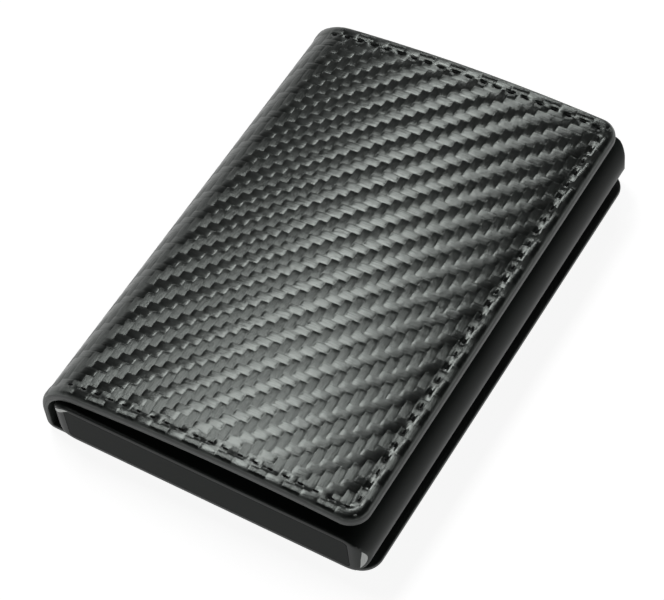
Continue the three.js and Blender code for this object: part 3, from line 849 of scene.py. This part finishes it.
# ---------- card case ----------
def case_section(count=20):
    """Outer outline of the case in X and Z."""
    middle = (CASE_LOW[2] + CASE_HIGH[2]) / 2
    turns = np.linspace(-math.pi / 2, math.pi / 2, count)
    right, left = CASE_HIGH[0] - CASE_ROUND, CASE_LOW[0] + CASE_ROUND
    points = [(right + CASE_ROUND * math.cos(t), middle + CASE_ROUND * math.sin(t)) for t in turns]
    points += [(left - CASE_ROUND * math.cos(t), middle - CASE_ROUND * math.sin(t)) for t in turns]
    outline = []
    for a, b in zip(points, points[1:] + points[:1]):
        outline.append(a)
        if abs(a[0] - b[0]) > 2 * CASE_ROUND:
            shares = [k / FLAT_PIECES for k in range(1, FLAT_PIECES)]
            outline += [(a[0] + (b[0] - a[0]) * share, a[1] + (b[1] - a[1]) * share) for share in shares]
    return np.array(outline)


def cavity_point(point):
    """Nearest point of the cavity's rounded rectangle."""
    low = np.array([CAP_LOW[0], CAP_LOW[2]]) - FIT_GAP
    high = np.array([CAP_HIGH[0], CAP_HIGH[2]]) + FIT_GAP
    core = np.clip(point, low + CAVITY_CORNER, high - CAVITY_CORNER)
    direction = point - core
    return core + direction / np.linalg.norm(direction) * CAVITY_CORNER


def case_shell():
    """The extruded tube with its four plan corners rounded and its rims softened."""
    section = case_section()
    inner = np.array([cavity_point(p) for p in section])
    middle_x, half_x = (CASE_LOW[0] + CASE_HIGH[0]) / 2, (CASE_HIGH[0] - CASE_LOW[0]) / 2
    middle_z = (CASE_LOW[2] + CASE_HIGH[2]) / 2
    half_y, rim = CASE_HIGH[1], CASE_RIM
    turn = np.linspace(0, math.pi / 2, 10)
    straight = half_y - CASE_CORNER
    stations = [(straight + CASE_CORNER * math.sin(t), CASE_CORNER * (1 - math.cos(t))) for t in turn]
    stations = [(-y, cut) for y, cut in reversed(stations)] + stations
    rings = []
    for y, cut in stations:
        soften = np.clip((abs(y) - half_y + rim) / rim, 0, 1)
        drop = rim * (1 - math.sqrt(max(0.0, 1 - soften ** 2)))
        limit = half_x - cut
        x = np.clip(section[:, 0] - middle_x, -limit, limit) + middle_x
        z = middle_z + (section[:, 1] - middle_z) * (1 - drop / CASE_ROUND)
        rings.append(np.stack([x, np.full(len(x), y), z], -1))
    outer = np.stack(rings)
    ends = [np.stack([inner[:, 0], np.full(len(inner), y), inner[:, 1]], -1) for y in (half_y, -half_y)]
    loops = np.concatenate([outer, np.stack(ends)])
    count, size = len(section), len(loops)
    faces = []
    for k in range(size):
        n = (k + 1) % size
        for m in range(count):
            p = (m + 1) % count
            faces.append([k * count + m, k * count + p, n * count + p, n * count + m])
    return mesh_object("card_case", loops.reshape(-1, 3), faces, [ANODISED], sharp=CASE_SHARP)


def knob_slot():
    """The knob's arc-shaped opening, as a cutter."""
    pin = (PIN_LOW + PIN_HIGH) / 2
    knob = (KNOB_LOW + KNOB_HIGH) / 2
    reach, half = knob[0] - pin[0], KNOB_SLOT_HALF
    swing = math.radians(KNOB_SWING)
    arc = np.linspace(0, swing, 16)
    outline = [((reach + half) * math.cos(t), (reach + half) * math.sin(t)) for t in arc]
    for centre, start in ((swing, swing), (0.0, math.pi)):
        cx, cy = reach * math.cos(centre), reach * math.sin(centre)
        for t in np.linspace(start, start + math.pi, 12)[1:-1]:
            outline.append((cx + half * math.cos(t), cy + half * math.sin(t)))
        if centre:
            outline += [((reach - half) * math.cos(t), (reach - half) * math.sin(t)) for t in arc[::-1]]
    plan = np.array(outline) + pin[:2]
    count = len(plan)
    levels = (CAP_HIGH[2] - 1.0, CASE_HIGH[2] + 2)
    points = np.concatenate([np.column_stack([plan, np.full(count, z)]) for z in levels])
    faces = [[m, (m + 1) % count, (m + 1) % count + count, m + count] for m in range(count)]
    faces += [list(range(count))[::-1], list(range(count, 2 * count))]
    return mesh_object("slot_cutter", points, faces, [ANODISED])


def cut_slot(case):
    cutter = knob_slot()
    modifier = case.modifiers.new("slot", "BOOLEAN")
    modifier.operation = "DIFFERENCE"
    modifier.solver = "EXACT"
    modifier.object = cutter
    bpy.context.view_layer.update()
    evaluated = case.evaluated_get(bpy.context.evaluated_depsgraph_get())
    mesh = bpy.data.meshes.new_from_object(evaluated)
    case.modifiers.clear()
    case.data = mesh
    mesh.set_sharp_from_angle(angle=math.radians(CASE_SHARP))
    bpy.data.objects.remove(cutter)


def end_crescent(name, side, middle_angle, half_span):
    """Bare milled metal on the case's end, a leaf along the rounded side between two angles."""
    centre_x = CASE_HIGH[0] - CASE_ROUND if side > 0 else CASE_LOW[0] + CASE_ROUND
    corner_start = (CASE_HIGH[0] if side > 0 else CASE_LOW[0]) - side * CASE_CORNER
    centre_z = (CASE_LOW[2] + CASE_HIGH[2]) / 2
    columns, rows = 6, 19
    points = []
    for t in np.linspace(-1, 1, rows):
        angle = math.radians(middle_angle + half_span * t)
        leaf = CRESCENT_WIDTH * (1 - t * t) + CRESCENT_TIP
        for k in range(columns):
            radius = CASE_ROUND - CRESCENT_INSET - leaf * k / (columns - 1)
            x = centre_x + radius * math.cos(angle)
            past = min(max(0.0, side * (x - corner_start)), CASE_CORNER)
            y = CASE_LOW[1] + CASE_CORNER - math.sqrt(CASE_CORNER ** 2 - past ** 2) - CRESCENT_PROUD
            points.append((x, y, centre_z + radius * math.sin(angle)))
    faces = grid_faces(rows, columns, flip=True)
    return mesh_object(name, points, faces, [MILLED])


def thumb_knob():
    """Dished knob with a knurled rim on its stem."""
    knob = (KNOB_LOW + KNOB_HIGH) / 2
    radius = (KNOB_HIGH[0] - KNOB_LOW[0]) / 2
    top = KNOB_HIGH[2]
    profile = (                # radius, height, and 1 where the rim is knurled
        (0.62, KNOB_LOW[2], 0), (1.3, KNOB_LOW[2], 0), (1.3, top - 1.1, 0),
        (radius - 0.15, top - 1.1, 0), (radius, top - 0.98, 1), (radius, top - 0.45, 1),
        (radius - 0.12, top - 0.25, 1), (radius - 0.4, top - 0.03, 0), (radius - 0.62, top, 0),
        (radius - 0.9, top - 0.06, 0), (radius - 1.6, top - 0.22, 0), (0.4, top - 0.3, 0),
        (0.0, top - 0.3, 0),
    )
    sides = 144
    rings = []
    for r, z, knurled in profile:
        angles = np.linspace(0, 2 * math.pi, sides, endpoint=False)
        ridge = r - knurled * KNURL_DEPTH * (np.arange(sides) % 4 < 2)
        rings.append(np.stack([
            knob[0] + ridge * np.cos(angles), knob[1] + ridge * np.sin(angles), np.full(sides, z),
        ], -1))
    faces = []
    for k in range(len(rings) - 1):
        for m in range(sides):
            n = (m + 1) % sides
            faces.append([k * sides + m, k * sides + n, (k + 1) * sides + n, (k + 1) * sides + m])
    points = np.stack(rings).reshape(-1, 3)
    return mesh_object("knurled_thumb_knob", points, faces, [ANODISED], sharp=KNOB_SHARP)


# ---------- CAD nodes that stay ----------
def dress_node(name, material, bevel=0.0):
    """Gives a carried-over CAD node its material, and softened edges where bevel is their width."""
    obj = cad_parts[name]
    obj.data.materials.clear()
    obj.data.materials.append(material)
    if bevel:
        weld = obj.modifiers.new("weld", "WELD")
        weld.merge_threshold = 0.000002
        edge = obj.modifiers.new("soft_edges", "BEVEL")
        edge.width = bevel * MM
        edge.segments = 2
        edge.limit_method = "ANGLE"
        edge.angle_limit = math.radians(SOFT_ANGLE)
        edge.harden_normals = False


# ---------- stage ----------
def make_camera():
    data = bpy.data.cameras.new("camera")
    data.lens = CAMERA_LENS
    data.sensor_width = CAMERA_SENSOR
    data.clip_start = 0.01
    camera = bpy.data.objects.new("camera", data)
    right = Vector(CAMERA_RIGHT).normalized()
    back = Vector(CAMERA_BACK).normalized()
    up = back.cross(right).normalized()
    right = up.cross(back)
    turn = Matrix((right, up, back)).transposed().to_4x4()
    camera.matrix_world = Matrix.Translation(Vector(CAMERA_PLACE) * MM) @ turn
    bpy.context.collection.objects.link(camera)
    bpy.context.scene.camera = camera


def softbox(name, toward, height, size, power):
    """A rectangular area light, level, above the point that the direction meets at that height."""
    data = bpy.data.lights.new(name, "AREA")
    data.shape = "RECTANGLE"
    data.size, data.size_y = size
    data.energy = power
    light = bpy.data.objects.new(name, data)
    light.location = (toward[0] * height, toward[1] * height, height)
    bpy.context.collection.objects.link(light)
    return light


def angle_box(name, x_angles, y_angles, height, radiance):
    """A level softbox that fills the given angles from the vertical, in degrees toward +X and +Y."""
    x0, x1 = (math.tan(math.radians(a)) for a in x_angles)
    y0, y1 = (math.tan(math.radians(a)) for a in y_angles)
    size = ((x1 - x0) * height, (y1 - y0) * height)
    return softbox(name, ((x0 + x1) / 2, (y0 + y1) / 2), height, size, radiance * math.pi * size[0] * size[1])


def studio_world():
    """A pale wall low down all round, under a dark ceiling."""
    world = bpy.data.worlds.new("studio")
    world.use_nodes = True
    nodes, links = world.node_tree.nodes, world.node_tree.links
    direction = nodes.new("ShaderNodeTexCoord")
    parts = nodes.new("ShaderNodeSeparateXYZ")
    fall = nodes.new("ShaderNodeMapRange")
    fall.interpolation_type = "SMOOTHSTEP"
    fall.inputs["From Min"].default_value = WALL_TOP[0]
    fall.inputs["From Max"].default_value = WALL_TOP[1]
    fall.inputs["To Min"].default_value = WALL_GLOW
    fall.inputs["To Max"].default_value = CEILING_GLOW
    links.new(direction.outputs["Generated"], parts.inputs["Vector"])
    links.new(parts.outputs["Z"], fall.inputs["Value"])
    links.new(fall.outputs["Result"], nodes["Background"].inputs["Strength"])
    nodes["Background"].inputs["Color"].default_value = (1, 1, 1, 1)
    return world


def make_stage():
    bpy.ops.mesh.primitive_plane_add(size=FLOOR_SIZE, location=(0, 0, 0))
    floor = bpy.context.object
    floor.name = "floor"
    floor.data.materials.append(floor_material())
    bpy.context.scene.world = studio_world()
    bpy.context.scene.view_settings.view_transform = "Standard"
    angle_box("main_softbox", SOFTBOX_X, NEAR_SOFTBOX_Y, SOFTBOX_HEIGHT, NEAR_RADIANCE)
    angle_box("far_softbox", SOFTBOX_X, FAR_SOFTBOX_Y, SOFTBOX_HEIGHT, FAR_RADIANCE)


# ---------- assembly ----------
def add_piece(piece, body, material_slot, *replaced):
    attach(piece, body)
    if replaced:
        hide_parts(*replaced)


def fold_over(piece, joint_ends, bodies, material_slot, *replaced):
    """Bakes the piece's placement into its mesh and hides the CAD nodes that it replaces."""
    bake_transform(piece)
    if replaced:
        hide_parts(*replaced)


def fold_ends(start_s, end_s):
    """Two points of the cover in metres, between which it bends."""
    start, end = on_cover(start_s, 0.0, 0.0), on_cover(end_s, 0.0, 0.0)
    return tuple(start * MM), tuple(end * MM)


def build_cover():
    upper = fold_ends(S_SPINE_TOP + FOLD_START * (S_FOLD - S_SPINE_TOP), S_FOLD)
    lower = fold_ends(S_BACK, S_SPINE_LOW)
    up, down = ("spine", "flap"), ("case", "spine")
    fold_over(cover_skin(FLAP), upper, up, "cover_leather", "flap_skin")
    fold_over(cover_skin(BACK), lower, down, "cover_leather", "back_skin", "spine_skin")
    fold_over(edge_band(FLAP), upper, up, "cover_leather")
    fold_over(edge_band(BACK), lower, down, "cover_leather")
    fold_over(cover_lining(FLAP), upper, up, "lining", "flap_lining")
    fold_over(cover_lining(BACK), lower, down, "lining", "back_lining", "spine_lining")
    fold_over(cover_stitches(FLAP), upper, up, "thread", "flap_stitching")
    fold_over(cover_stitches(BACK), lower, down, "thread", "back_stitching")


def build_pockets():
    first = FLAP_THICK + POCKET_GAP
    second = first + POCKET_STEP
    lower = pocket("lower_card_pocket", LOWER_POCKET_LOW, LOWER_POCKET_HIGH, first, POCKET_THICK)
    upper = pocket("upper_card_pocket", UPPER_POCKET_LOW, UPPER_POCKET_HIGH, second, POCKET_THICK)
    add_piece(lower, "flap", "lining", "flap_pocket_lower")
    add_piece(upper, "flap", "lining", "flap_pocket_upper")
    parts = [
        pocket_stitches(UPPER_POCKET_HIGH[0] + BESIDE_POCKET, LOWER_POCKET_HIGH, first + POCKET_THICK),
        pocket_stitches(UPPER_POCKET_LOW[0], UPPER_POCKET_HIGH, second + POCKET_THICK),
    ]
    points, faces = joined(parts)
    add_piece(mesh_object("pocket_stitches", points, faces, [THREAD]), "flap", "thread")


def build_case():
    case = case_shell()
    cut_slot(case)
    add_piece(case, "case", "anodised_case", "case_shell")
    for crescent in CRESCENTS:
        add_piece(end_crescent(*crescent), "case", "steel")
    add_piece(thumb_knob(), "ejector", "anodised_case", "thumb_knob")


def dress_nodes():
    dress_node("end_cap", PLASTIC, 0.12)
    dress_node("mouth_frame", PLASTIC, 0.12)
    for name in ("card_guide_left", "card_guide_right"):
        dress_node(name, PLASTIC, 0.1)
    dress_node("ejector_lever", PLASTIC, 0.1)
    dress_node("keeper_strip", STEEL, 0.05)
    dress_node("knob_screw", STEEL, 0.06)
    dress_node("pivot_pin", BRASS, 0.08)
    dress_node("pivot_washer", BRASS, 0.05)
    dress_node("return_spring", STEEL)
    for name in ("flap_board", "back_board"):
        dress_node(name, BOARD)
    dress_node("flap_magnet_strip", MAGNET)
    dress_node("case_adhesive_pad", FOAM)
    for name in ("grip_felt_lower", "grip_felt_upper"):
        dress_node(name, FELT, 0.1)


make_camera()
make_stage()
build_cover()
build_pockets()
build_case()
dress_nodes()
